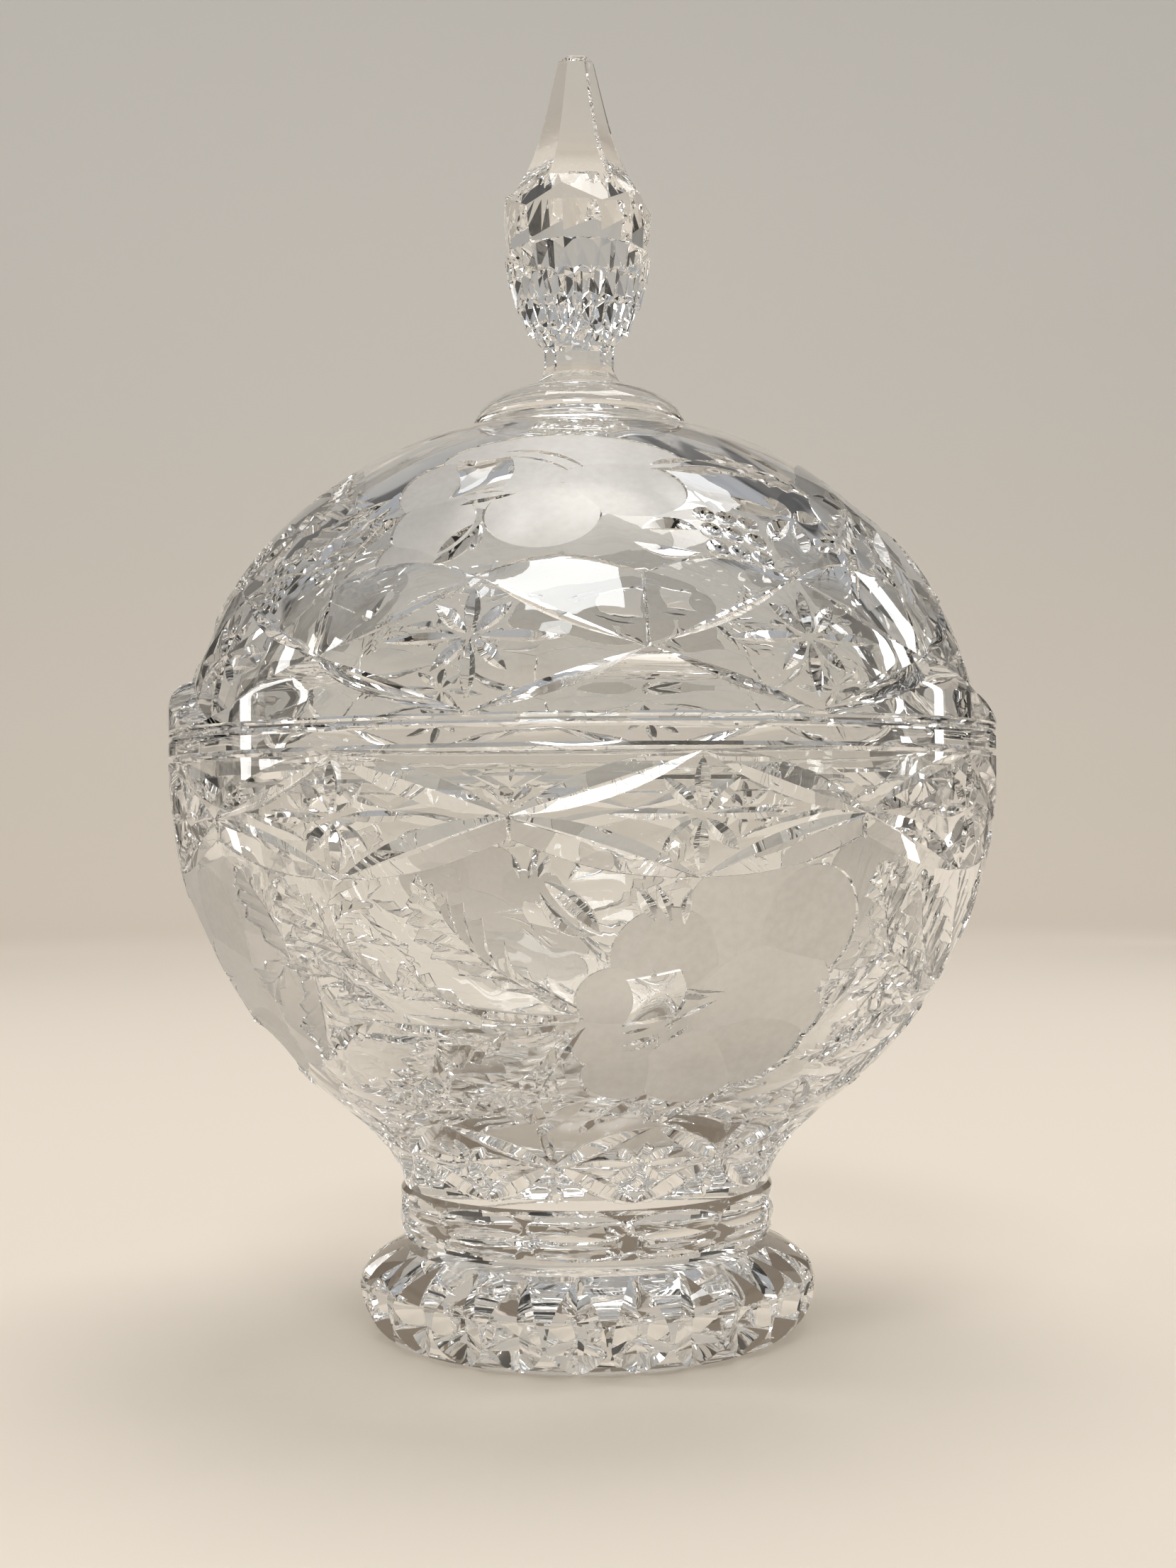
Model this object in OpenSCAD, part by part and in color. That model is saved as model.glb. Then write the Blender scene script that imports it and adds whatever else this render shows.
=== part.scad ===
// Covered powder jar of cut crystal: a footed bowl and a lid that lifts off by a pointed finial.
// The origin is the centre of the foot's underside. +Z is up. Millimetres.

/* [Body] */
// Diameter of the bowl at its widest and of the lid's rim
body_d = 127; // [104:1:154]
// Height of the seam where the lid sits on the bowl
seam_z = 87.5; // [72:0.5:106]
// How far below the seam the bowl is widest
bowl_belly_drop = 1.5; // [0:0.5:4]
// Thickness of the bowl's wall
bowl_wall = 6.5; // [4:0.5:9]
// Thickness of the glass under the bowl's hollow, down to the foot ring
bowl_floor = 10; // [6:0.5:14]
// Width of the small bevel on the ground rims
rim_bevel = 0.5; // [0.2:0.1:1]

/* [Foot] */
// Height of the foot, up to the foot ring
foot_h = 13.6; // [10:0.2:18]
// Greatest radius of the foot
foot_r = 35.3; // [28:0.1:44]
// Height at which the foot is widest
foot_belly_z = 8.2; // [5:0.2:9.5]
// Radius of the flat on which the foot stands
stand_r = 29.9; // [26:0.1:33]
// Width of the flat ring on which the foot stands
stand_w = 6; // [3:0.5:9]
// Depth of the hollow ground into the foot's underside
stand_hollow = 1.6; // [0.5:0.1:2.5]
// Number of flutes around the foot
flute_count = 24; // [12:1:32]
// Depth of each flute
flute_depth = 1.1; // [0.4:0.1:2]
// Radius of the wheel that cuts a flute
flute_r = 6; // [4:0.5:9]

/* [Foot ring] */
// Height of the ring between the foot and the bowl
ring_h = 9; // [6:0.2:12]
// Radius of the ring where it meets the foot
ring_low_r = 25.2; // [22:0.1:28]
// Greatest radius of the ring
ring_r = 29.3; // [26:0.1:36]
// Radius of the waist, where the bowl leaves the ring
waist_r = 28.2; // [22:0.1:34]
// Number of thumbprints around the ring
thumb_count = 12; // [8:1:18]
// Depth of each thumbprint
thumb_depth = 0.7; // [0.3:0.1:1.2]
// Radius of the wheel that cuts a thumbprint
thumb_r = 30; // [20:1:40]
// Height over which the waist spreads into the bowl
waist_blend = 12; // [8:0.5:16]

/* [Lid] */
// Height of the dome above the seam, to the finial's disc
dome_h = 52.1; // [42:0.1:64]
// How far the dome above the rim band is set in from the lid's rim
dome_step = 2; // [1:0.1:4]
// Height of the thick band at the lid's rim
rim_band = 6; // [3:0.5:9]
// Thickness of the lid's wall, from its rim to its hollow
lid_wall = 10.1; // [8:0.1:12]
// Thickness of the glass at the top of the dome
lid_crown = 7; // [4:0.5:10]
// Depth that the flange drops into the bowl's mouth
flange_h = 4; // [2:0.5:7]
// Gap all round between the flange and the bowl's mouth
flange_gap = 1; // [0.5:0.1:2]

/* [Finial] */
// Radius of the disc on top of the dome
disc_r = 16.5; // [13:0.1:20]
// Height of the disc's rounded top
disc_h = 6.8; // [5:0.1:9]
// Radius of the finial's stem
stem_r = 5.6; // [4:0.1:7]
// Height of the stem, from the disc to the knop
stem_h = 7; // [4:0.5:10]
// Radius of the knop where its facets begin
knop_r = 9.5; // [7.5:0.1:11]
// Height of the knop's rounded underside
knop_rise = 5.5; // [3:0.5:8]
// Radius across the corners of the shoulder, the finial's widest place
shoulder_r = 11.85; // [10:0.1:14]
// Height from the top of the knop's underside to the shoulder
knop_h = 15; // [10:0.5:20]
// Height of the spire above the shoulder
spire_h = 24.2; // [18:0.2:30]
// Height of the flare at the spire's foot
spire_flare_h = 5; // [3:0.5:8]
// Radius of the spire above its flare, to the middle of a facet
spire_neck_r = 7.4; // [5.5:0.1:9]
// Radius of the blunt tip, to the middle of a facet
tip_r = 2; // [1:0.1:3]

/* [Hidden] */
$fn = 96;

body_r = body_d / 2;
steps = 14;

// Foot and ring
ring_z = foot_h;
bowl_z = foot_h + ring_h;

// Bowl: an ellipse whose lowest point would lie on the ring
belly_z = seam_z - bowl_belly_drop;
bowl_drop = belly_z - bowl_z;
mouth_r = body_r - bowl_wall;
hollow_drop = bowl_drop - bowl_floor;
blend_z = bowl_z + waist_blend;

// Lid: an ellipse whose crown is cut off flat under the disc
dome_r = body_r - dome_step;
disc_seat_r = disc_r - 3;
disc_z = seam_z + dome_h;
dome_rise = dome_h / sqrt(1 - pow(disc_seat_r / dome_r, 2));
lid_hollow_r = body_r - lid_wall;
lid_hollow_h = dome_h - lid_crown;
flange_r = mouth_r - flange_gap;

// Finial, from the disc upwards
stem_foot_r = stem_r + 1;
finial_z = disc_z + disc_h * sqrt(1 - pow(stem_foot_r / disc_r, 2));
flare_h = stem_h * 0.4;
knop_z = finial_z + stem_h;
facet_z = knop_z + knop_rise;
shoulder_z = facet_z + knop_h;
facet_sides = 12;
spire_sides = 6;
spire_turn = 360 / facet_sides;
shoulder_flat = shoulder_r * cos(180 / facet_sides);
spire_corner = 1 / cos(180 / spire_sides);
// The six lesser facets fade out below the tip
lesser_tip_r = tip_r * 1.6;

// Radius of the bowl's outside at height z on the ellipse
function bowl_r(z) = body_r * sqrt(max(0, 1 - pow((belly_z - z) / bowl_drop, 2)));
// Radius of the waist's blend, which starts upright and leaves along the bowl
function waist(z) = waist_r + (bowl_r(blend_z) - waist_r) * pow((z - bowl_z) / waist_blend, 1.6);
// Points of a quarter ellipse round [0, z], half width a and height b, from angle a0 to a1
function quarter(z, a, b, a0, a1) =
    [for (i = [0:steps]) let (t = a0 + (a1 - a0) * i / steps) [a * cos(t), z + b * sin(t)]];

// Copies of the children round the axis
module around(count) {
    for (i = [0:count - 1]) rotate([0, 0, i * 360 / count]) children();
}

module bowl() {
    rise_a = -asin((belly_z - blend_z) / bowl_drop);
    rim_a = asin(bowl_belly_drop / bowl_drop);
    outside = concat(
        [for (i = [0:5]) let (z = bowl_z + waist_blend * i / 6) [waist(z), z]],
        quarter(belly_z, body_r, bowl_drop, rise_a, 0),
        [[body_r, seam_z - rim_bevel], [body_r - rim_bevel, seam_z]]
    );
    inside = concat(
        [[mouth_r + rim_bevel, seam_z], [mouth_r, seam_z - rim_bevel]],
        quarter(belly_z, mouth_r, hollow_drop, 0, -90)
    );
    color("gainsboro") rotate_extrude()
        polygon(concat([[0, bowl_z]], outside, inside));
}

module foot_ring() {
    belly = ring_z + ring_h * 0.62;
    under = [for (i = [0:5]) let (t = -90 + i * 15)
        [ring_low_r + (ring_r - ring_low_r) * cos(t), belly + (belly - ring_z) * sin(t)]];
    over = [for (i = [0:5]) let (t = i * 18)
        [waist_r + (ring_r - waist_r) * cos(t), belly + (bowl_z - belly) * sin(t)]];
    color("silver") difference() {
        rotate_extrude() polygon(concat([[0, ring_z]], under, over, [[0, bowl_z]]));
        around(thumb_count) translate([ring_r + thumb_r - thumb_depth, 0, ring_z - 1])
            cylinder(h = ring_h + 2, r = thumb_r, $fn = 48);
    }
}

module foot() {
    shoulder = [for (i = [0:6]) let (t = i * 15)
        [ring_low_r + (foot_r - ring_low_r) * cos(t), foot_belly_z + (foot_h - foot_belly_z) * sin(t)]];
    skirt = [for (i = [0:5]) let (t = -90 + i * 15)
        [stand_r + (foot_r - stand_r) * cos(t), foot_belly_z + foot_belly_z * sin(t)]];
    hollow_r = stand_r - stand_w;
    color("gainsboro") difference() {
        rotate_extrude() polygon(concat(
            [[0, stand_hollow], [hollow_r - stand_hollow, stand_hollow], [hollow_r, 0]],
            skirt, shoulder, [[0, foot_h]]
        ));
        around(flute_count) translate([foot_r + flute_r - flute_depth, 0, -1])
            cylinder(h = foot_h + 2, r = flute_r, $fn = 32);
    }
}

module lid_dome() {
    band_a = asin((rim_band + dome_step) / dome_rise);
    top_a = asin(dome_h / dome_rise);
    outside = concat(
        [[body_r - rim_bevel, seam_z], [body_r, seam_z + rim_bevel], [body_r, seam_z + rim_band]],
        quarter(seam_z, dome_r, dome_rise, band_a, top_a)
    );
    inside = concat([[0, seam_z + lid_hollow_h]], quarter(seam_z, lid_hollow_r, lid_hollow_h, 89, 0));
    color("lightgray") rotate_extrude()
        polygon(concat(outside, [[0, disc_z]], inside));
}

module lid_flange() {
    color("whitesmoke") rotate_extrude() polygon([
        [lid_hollow_r, seam_z],
        [lid_hollow_r, seam_z - flange_h],
        [flange_r - rim_bevel, seam_z - flange_h],
        [flange_r, seam_z - flange_h + rim_bevel],
        [flange_r, seam_z]
    ]);
}

module finial_disc() {
    seat_a = acos(stem_foot_r / disc_r);
    color("gainsboro") rotate_extrude()
        polygon(concat([[0, disc_z]], quarter(disc_z, disc_r, disc_h, 0, seat_a), [[0, finial_z]]));
}

module finial() {
    color("whitesmoke") union() {
        rotate([0, 0, spire_turn / 2]) {
            facet_cone(finial_z, flare_h, stem_foot_r, stem_r);
            facet_cone(finial_z + flare_h, stem_h - flare_h, stem_r, stem_r);
            facet_cone(knop_z, knop_rise, stem_r, knop_r);
            facet_cone(facet_z, knop_h, knop_r, shoulder_r);
        }
        translate([0, 0, shoulder_z]) intersection() {
            spire(tip_r);
            rotate([0, 0, spire_turn]) spire(lesser_tip_r);
        }
    }
}

// One twelve-sided stage of the finial, from height z upwards
module facet_cone(z, h, low_r, high_r) {
    translate([0, 0, z]) cylinder(h = h, r1 = low_r, r2 = high_r, $fn = facet_sides);
}

// Six-sided spire that flares at its foot, where it is as wide as the shoulder's facets
module spire(top) {
    spire_stage(0, spire_flare_h, shoulder_flat, spire_neck_r);
    spire_stage(spire_flare_h, spire_h - spire_flare_h, spire_neck_r, top);
}

// One six-sided stage of the spire, with its radii to the middle of a facet
module spire_stage(z, h, low_r, high_r) {
    translate([0, 0, z])
        cylinder(h = h, r1 = low_r * spire_corner, r2 = high_r * spire_corner, $fn = spire_sides);
}

bowl();
foot_ring();
foot();
lid_dome();
lid_flange();
finial_disc();
finial();
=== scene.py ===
"""Covered powder jar of cut crystal, on a plain pale studio sweep.

The jar and the lid are each turned as one body of glass and then cut, as a glass cutter does it: V grooves
for the diamonds, stars, stems and flutes, shallow discs for the petals and thumbprints, and scooped patches
for the leaves and facets. Each body is then parted at the heights where the CAD nodes meet, into one piece
for each node. The glass is built in millimetres and scaled at the end; the stage, the lights and the camera
are in metres. A turn is an angle round the Z axis in degrees, from the front (-Y) towards +X.
"""
import math

import bmesh
import bpy
from mathutils import Matrix, Vector, noise


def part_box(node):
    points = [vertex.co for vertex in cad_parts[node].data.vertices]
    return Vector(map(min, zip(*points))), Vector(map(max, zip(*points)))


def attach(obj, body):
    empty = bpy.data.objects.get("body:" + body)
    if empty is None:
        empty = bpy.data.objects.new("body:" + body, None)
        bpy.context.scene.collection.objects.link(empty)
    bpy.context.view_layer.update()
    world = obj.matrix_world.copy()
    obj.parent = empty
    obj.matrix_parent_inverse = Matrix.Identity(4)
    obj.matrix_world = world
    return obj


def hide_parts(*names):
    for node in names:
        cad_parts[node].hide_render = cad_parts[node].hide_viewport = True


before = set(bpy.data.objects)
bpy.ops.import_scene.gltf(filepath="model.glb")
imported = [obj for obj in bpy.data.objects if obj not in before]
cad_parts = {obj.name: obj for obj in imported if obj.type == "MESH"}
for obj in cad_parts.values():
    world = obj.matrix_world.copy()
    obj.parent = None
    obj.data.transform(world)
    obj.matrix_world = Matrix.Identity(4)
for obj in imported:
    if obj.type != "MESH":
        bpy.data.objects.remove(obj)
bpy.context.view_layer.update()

MM = 0.001


def node_box(node):
    """Lowest and highest corner of a CAD node, in millimetres."""
    lo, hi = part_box(node)
    return lo / MM, hi / MM


# Sizes that the CAD nodes give
body_r = node_box("bowl")[1].x
seam_z = node_box("bowl")[1].z
bowl_z = node_box("bowl")[0].z
foot_r = node_box("foot")[1].x
ring_z = node_box("foot")[1].z
ring_r = node_box("foot_ring")[1].x
flange_r = node_box("lid_flange")[1].x
flange_z = node_box("lid_flange")[0].z
disc_z = node_box("finial_disc")[0].z
disc_r = node_box("finial_disc")[1].x
finial_z = node_box("finial")[0].z
tip_z = node_box("finial")[1].z
knop_sides, spire_sides = 12, 6
shoulder_r = node_box("finial")[1].x / math.cos(math.radians(180 / knop_sides))

# Sizes inside the nodes
belly_z = seam_z - 1.5
bowl_wall, bowl_floor = 6.5, 10
stand_r, stand_w, stand_hollow = 29.9, 6, 1.6
foot_belly_z, foot_top_r, ledge_z = 7.6, 28.4, ring_z - 0.3
ring_low_r, waist_r, waist_blend = 25.2, 28.2, 12
dome_step, lid_wall, lid_crown = 2, 10.1, 7
rim_bevel, panel_sink = 0.5, 0.45
disc_overhang, stem_foot_r = 3, 6.6
seam_gap = 0.06

bowl_drop = belly_z - bowl_z
mouth_r = body_r - bowl_wall
hollow_drop = bowl_drop - bowl_floor
dome_r = body_r - dome_step
dome_h = disc_z - seam_z
dome_rise = dome_h / math.sqrt(1 - ((disc_r - disc_overhang) / dome_r) ** 2)
lid_hollow_r = body_r - lid_wall
lid_hollow_h = dome_h - lid_crown
disc_h = (finial_z - disc_z) / math.sqrt(1 - (stem_foot_r / disc_r) ** 2)

# Material slots of the glass: clear, and frosted from FROST on. RIM marks a disc's side, which stays clear
CLEAR, FROST, RIM = 0, 1, 9
# Lighter and darker copies of the frosted glass: painted shade, which tells neighbouring petals apart
FROST_PAINTED_SHADES = 3
SEGMENTS = 208


# ---------------------------------------------------------------- skins and charts

def oval(x, half, power=2.0):
    """Height of a quarter circle of radius 1 at x / half; other powers give flatter or squarer curves."""
    return max(0.0, 1 - min(1.0, abs(x) / half) ** power) ** (1 / power)


def bowl_skin(z):
    """Radius of the bowl's outside."""
    blend_top = bowl_z + waist_blend
    if z >= belly_z:
        return body_r
    if z >= blend_top:
        return body_r * oval(belly_z - z, bowl_drop)
    top_r = body_r * oval(belly_z - blend_top, bowl_drop)
    return waist_r + (top_r - waist_r) * (max(0, z - bowl_z) / waist_blend) ** 1.6


def dome_skin(z):
    """Radius of the lid's dome."""
    return dome_r * oval(z - seam_z, dome_rise)


def panel_skin(z):
    """Radius of the sunk panels inside the lid's diamonds."""
    return dome_skin(z) - panel_sink


def ring_skin(z):
    """Radius of the foot ring."""
    belly = ring_z + (bowl_z - ring_z) * 0.62
    if z < belly:
        return ring_low_r + (ring_r - ring_low_r) * oval(belly - z, belly - ring_z, 3.2)
    return waist_r + (ring_r - waist_r) * oval(z - belly, bowl_z - belly, 3.0)


def foot_skin(z):
    """Radius of the foot: a rounded skirt, a slanting shoulder and a narrow ledge under the ring."""
    if z < foot_belly_z:
        return stand_r + (foot_r - stand_r) * oval(foot_belly_z - z, foot_belly_z)
    if z > ledge_z:
        return foot_top_r + (ring_low_r - foot_top_r) * (z - ledge_z) / (ring_z - ledge_z)
    return foot_r - (foot_r - foot_top_r) * ((z - foot_belly_z) / (ledge_z - foot_belly_z)) ** 2


def slope(skin, z):
    return (skin(z + 0.02) - skin(z - 0.02)) / 0.04


def normal_at(skin, turn, z):
    """Outward normal of a skin."""
    a = math.radians(turn)
    return Vector((math.sin(a), -math.cos(a), -slope(skin, z))).normalized()


def place_at(r, turn, z):
    a = math.radians(turn)
    return Vector((r * math.sin(a), -r * math.cos(a), z))


def point_at(skin, turn, z):
    return place_at(skin(z), turn, z)


def turn_of(p):
    return math.degrees(math.atan2(p.x, -p.y))


def band_chart(skin):
    """Chart whose coordinates are (turn, z)."""
    def place(turn, z):
        return point_at(skin, turn, z), normal_at(skin, turn, z)
    return place


def flower_chart(skin, turn, z):
    """Chart of millimetres right and up from a centre, laid flat on the skin there and dropped onto it."""
    centre = point_at(skin, turn, z)
    n = normal_at(skin, turn, z)
    a = math.radians(turn)
    right = Vector((math.cos(a), math.sin(a), 0))
    up = n.cross(right)

    def place(u, v):
        q = centre + right * u + up * v
        for _ in range(12):
            r = max(1e-6, math.hypot(q.x, q.y))
            grad = Vector((q.x / r, q.y / r, -slope(skin, q.z)))
            q = q - n * ((r - skin(q.z)) / max(0.15, grad.dot(n)))
        return q, normal_at(skin, turn_of(q), q.z)
    return place


# ---------------------------------------------------------------- meshes

def new_object(name, bm):
    mesh = bpy.data.meshes.new(name)
    bm.to_mesh(mesh)
    bm.free()
    obj = bpy.data.objects.new(name, mesh)
    bpy.context.scene.collection.objects.link(obj)
    return obj


def lathe(name, profile, ripple):
    """Turns a closed (r, z, rippled) outline that starts and ends on the axis."""
    bm = bmesh.new()
    rings = []
    for r, z, rippled in profile:
        if r < 1e-9:
            rings.append([bm.verts.new((0, 0, z))])
            continue
        ring = []
        for i in range(SEGMENTS):
            a = 2 * math.pi * i / SEGMENTS
            k = r + (ripple(a, z) if rippled else 0)
            ring.append(bm.verts.new((k * math.cos(a), k * math.sin(a), z)))
        rings.append(ring)
    for low, high in zip(rings, rings[1:]):
        for i in range(SEGMENTS):
            j = (i + 1) % SEGMENTS
            if len(low) == 1:
                bm.faces.new((low[0], high[j], high[i]))
            elif len(high) == 1:
                bm.faces.new((low[i], low[j], high[0]))
            else:
                bm.faces.new((low[i], low[j], high[j], high[i]))
    bmesh.ops.recalc_face_normals(bm, faces=bm.faces)
    return new_object(name, bm)


def close_grid(bm, inner, outer):
    """Joins an inner and an outer grid of vertices, and their rims, into one closed solid."""
    rows, cols = len(inner), len(inner[0])
    for i in range(rows - 1):
        for j in range(cols - 1):
            bm.faces.new((inner[i][j], inner[i + 1][j], inner[i + 1][j + 1], inner[i][j + 1]))
            bm.faces.new((outer[i][j], outer[i][j + 1], outer[i + 1][j + 1], outer[i + 1][j]))
    for i in (0, rows - 1):
        for j in range(cols - 1):
            bm.faces.new((inner[i][j], inner[i][j + 1], outer[i][j + 1], outer[i][j]))
    for j in (0, cols - 1):
        for i in range(rows - 1):
            bm.faces.new((inner[i][j], outer[i][j], outer[i + 1][j], inner[i + 1][j]))


class Cutters:
    """One boolean's worth of cutters that don't meet each other, repeated round the axis."""

    def __init__(self, copies, slot=CLEAR):
        self.bm = bmesh.new()
        self.copies = copies
        self.slot = slot

    def groove(self, chart, start, end, width, depth, bend=0.0, up=0.35, parts=12, peak=0.5, blunt=1.0,
               flare=0.0, soft=0.32):
        """V groove between two places of a chart, pointed at both ends and widest at peak.

        Its shoulders are rounded over the length soft, as polishing leaves them.
        """
        dx, dy = end[0] - start[0], end[1] - start[1]
        spots = []
        for i in range(parts + 1):
            t = i / parts
            b = 4 * bend * t * (1 - t)
            spots.append(chart(start[0] + dx * t - dy * b, start[1] + dy * t + dx * b))
        wide = (width / 2) / depth
        sections = []
        for i, (p, n) in enumerate(spots):
            t = i / parts
            t = 0.5 * t / peak if t < peak else 0.5 + 0.5 * (t - peak) / (1 - peak)
            fullness = 4 * t * (1 - t)
            d = depth * fullness ** blunt
            along = spots[min(i + 1, parts)][0] - spots[max(i - 1, 0)][0]
            side = n.cross(along).normalized()
            half = d * wide
            c = min(soft, 0.45 * half)
            if soft > 0:
                outline = [(half - c, -c / wide), (half - 0.3333 * c, -0.4444 * c / wide),
                           (half + 0.3333 * c, -0.1111 * c / wide), (half + c + 0.02, 0.01),
                           (half + c + 0.02, up)]
            else:
                outline = [((d + up) * wide * (1 - flare * (1 - fullness)), up)]
            low = self.bm.verts.new(p - n * (d - 0.02))
            right = [self.bm.verts.new(p + side * x + n * h) for x, h in outline]
            left = [self.bm.verts.new(p - side * x + n * h) for x, h in outline]
            sections.append([low] + right + left[::-1])
        for a, b in zip(sections, sections[1:]):
            for k in range(len(a)):
                m = (k + 1) % len(a)
                self.bm.faces.new((a[k], b[k], b[m], a[m]))
        self.bm.faces.new(sections[0])
        self.bm.faces.new(sections[-1][::-1])

    def disc(self, chart, centre, size, depth, tilt=0.0, up=0.6, hollow=0.8, rings=5, around=48,
             round_off=1.0, spread=0.0):
        """Shallow round or oval cut; hollow is the share of the depth lost from its middle to its rim.

        A round_off under 1 squares it off, and a spread makes its side slope outwards by that share of its
        height.
        """
        a = math.radians(tilt)
        inner, outer = [], []
        for i in range(1, rings + 1):
            rho = i / rings
            row_in, row_out = [], []
            for j in range(around):
                b = 2 * math.pi * j / around
                x = size[0] * rho * math.copysign(abs(math.cos(b)) ** round_off, math.cos(b))
                y = size[1] * rho * math.copysign(abs(math.sin(b)) ** round_off, math.sin(b))
                u = centre[0] + x * math.cos(a) - y * math.sin(a)
                v = centre[1] + x * math.sin(a) + y * math.cos(a)
                p, n = chart(u, v)
                row_in.append(self.bm.verts.new(p - n * depth * (1 - hollow * rho * rho)))
                wider = spread * (up + depth * (1 - hollow)) / math.hypot(u - centre[0], v - centre[1])
                p, n = chart(u + (u - centre[0]) * wider, v + (v - centre[1]) * wider)
                row_out.append(self.bm.verts.new(p + n * up))
            inner.append(row_in)
            outer.append(row_out)
        for i in range(rings - 1):
            for j in range(around):
                k = (j + 1) % around
                self.bm.faces.new((inner[i][j], inner[i + 1][j], inner[i + 1][k], inner[i][k]))
                self.bm.faces.new((outer[i][j], outer[i][k], outer[i + 1][k], outer[i + 1][j]))
        for j in range(around):
            k = (j + 1) % around
            rim = self.bm.faces.new((inner[-1][j], outer[-1][j], outer[-1][k], inner[-1][k]))
            rim.material_index = RIM
        p, n = chart(*centre)
        mid_in, mid_out = self.bm.verts.new(p - n * depth), self.bm.verts.new(p + n * up)
        for j in range(around):
            k = (j + 1) % around
            self.bm.faces.new((mid_in, inner[0][j], inner[0][k]))
            self.bm.faces.new((mid_out, outer[0][k], outer[0][j]))

    def patch(self, chart, spot, depth, across=14, along=7, up=1.2):
        """Cut of any outline: spot(s, t) is a place on the chart, depth(s, t) its depth, s and t in 0..1."""
        inner, outer = [], []
        for j in range(along + 1):
            row_in, row_out = [], []
            for i in range(across + 1):
                s, t = i / across, j / along
                p, n = chart(*spot(s, t))
                row_in.append(self.bm.verts.new(p - n * depth(s, t)))
                row_out.append(self.bm.verts.new(p + n * up))
            inner.append(row_in)
            outer.append(row_out)
        close_grid(self.bm, inner, outer)

    def finish(self, name):
        """The cutters as one object, copied round the axis."""
        bmesh.ops.remove_doubles(self.bm, verts=self.bm.verts, dist=1e-4)
        bmesh.ops.recalc_face_normals(self.bm, faces=self.bm.faces)
        whole = bmesh.new()
        for k in range(self.copies):
            part = self.bm.copy()
            turn = Matrix.Rotation(2 * math.pi * k / self.copies, 3, "Z")
            bmesh.ops.rotate(part, verts=part.verts, matrix=turn)
            mesh = bpy.data.meshes.new("part")
            part.to_mesh(mesh)
            part.free()
            whole.from_mesh(mesh)
            bpy.data.meshes.remove(mesh)
        self.bm.free()
        for face in whole.faces:
            face.material_index = CLEAR if face.material_index == RIM else self.slot
        return new_object(name, whole)


def carve(base, groups, materials):
    """Takes every group of cutters off the base, and returns the carved mesh."""
    for m in materials:
        base.data.materials.append(m)
    tools = []
    for i, group in enumerate(groups):
        tool = group.finish(f"cutter_{i}") if isinstance(group, Cutters) else group
        for m in materials:
            tool.data.materials.append(m)
        step = base.modifiers.new(f"cut_{i}", "BOOLEAN")
        step.operation = "DIFFERENCE" if isinstance(group, Cutters) else "UNION"
        step.solver = "MANIFOLD"
        step.object = tool
        tools.append(tool)
    depsgraph = bpy.context.evaluated_depsgraph_get()
    mesh = bpy.data.meshes.new_from_object(base.evaluated_get(depsgraph))
    for obj in tools + [base]:
        bpy.data.objects.remove(obj)
    return mesh


def part_off(mesh, name, low, high, body, frosted_too=False, sharp=8.0):
    """Keeps what lies between two heights as the piece that stands for a CAD node."""
    bm = bmesh.new()
    bm.from_mesh(mesh)
    for z, sign in ((low, -1), (high, 1)):
        if z is None:
            continue
        geom = list(bm.verts) + list(bm.edges) + list(bm.faces)
        bmesh.ops.bisect_plane(
            bm, geom=geom, dist=1e-5, plane_co=(0, 0, z), plane_no=(0, 0, sign), clear_outer=True
        )
    bmesh.ops.scale(bm, vec=(MM, MM, MM), verts=bm.verts)
    for face in bm.faces:
        face.smooth = True
    obj = new_object(name + "_glass", bm)
    obj.data.set_sharp_from_angle(angle=math.radians(sharp))
    for m in GLASS if frosted_too else GLASS[:1]:
        obj.data.materials.append(m)
    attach(obj, body)
    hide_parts(name)
    return obj


# ---------------------------------------------------------------- materials

def noise_input(nodes, links, scale, detail, low, high, low_out, high_out):
    """Object-space noise, mapped from low..high to low_out..high_out."""
    place = nodes.new("ShaderNodeTexCoord")
    cloud = nodes.new("ShaderNodeTexNoise")
    cloud.inputs["Scale"].default_value = scale
    cloud.inputs["Detail"].default_value = detail
    links.new(place.outputs["Object"], cloud.inputs["Vector"])
    span = nodes.new("ShaderNodeMapRange")
    span.inputs["From Min"].default_value = low
    span.inputs["From Max"].default_value = high
    span.inputs["To Min"].default_value = low_out
    span.inputs["To Max"].default_value = high_out
    links.new(cloud.outputs["Fac"], span.inputs["Value"])
    return span.outputs["Result"]


def glass_material(name, tints, tint_scale, roughness, transmission=1.0):
    """Lead crystal whose tint drifts slowly between two shades."""
    material = bpy.data.materials.new(name)
    material.use_nodes = True
    nodes, links = material.node_tree.nodes, material.node_tree.links
    shader = nodes["Principled BSDF"]
    shader.inputs["IOR"].default_value = 1.545
    shader.inputs["Transmission Weight"].default_value = transmission
    shader.inputs["Roughness"].default_value = roughness
    drift = noise_input(nodes, links, tint_scale, 3.0, 0.3, 0.7, 0.0, 1.0)
    ramp = nodes.new("ShaderNodeValToRGB")
    ramp.color_ramp.elements[0].color = tints[0]
    ramp.color_ramp.elements[1].color = tints[1]
    links.new(drift, ramp.inputs["Fac"])
    links.new(ramp.outputs["Color"], shader.inputs["Base Color"])
    return material


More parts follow.
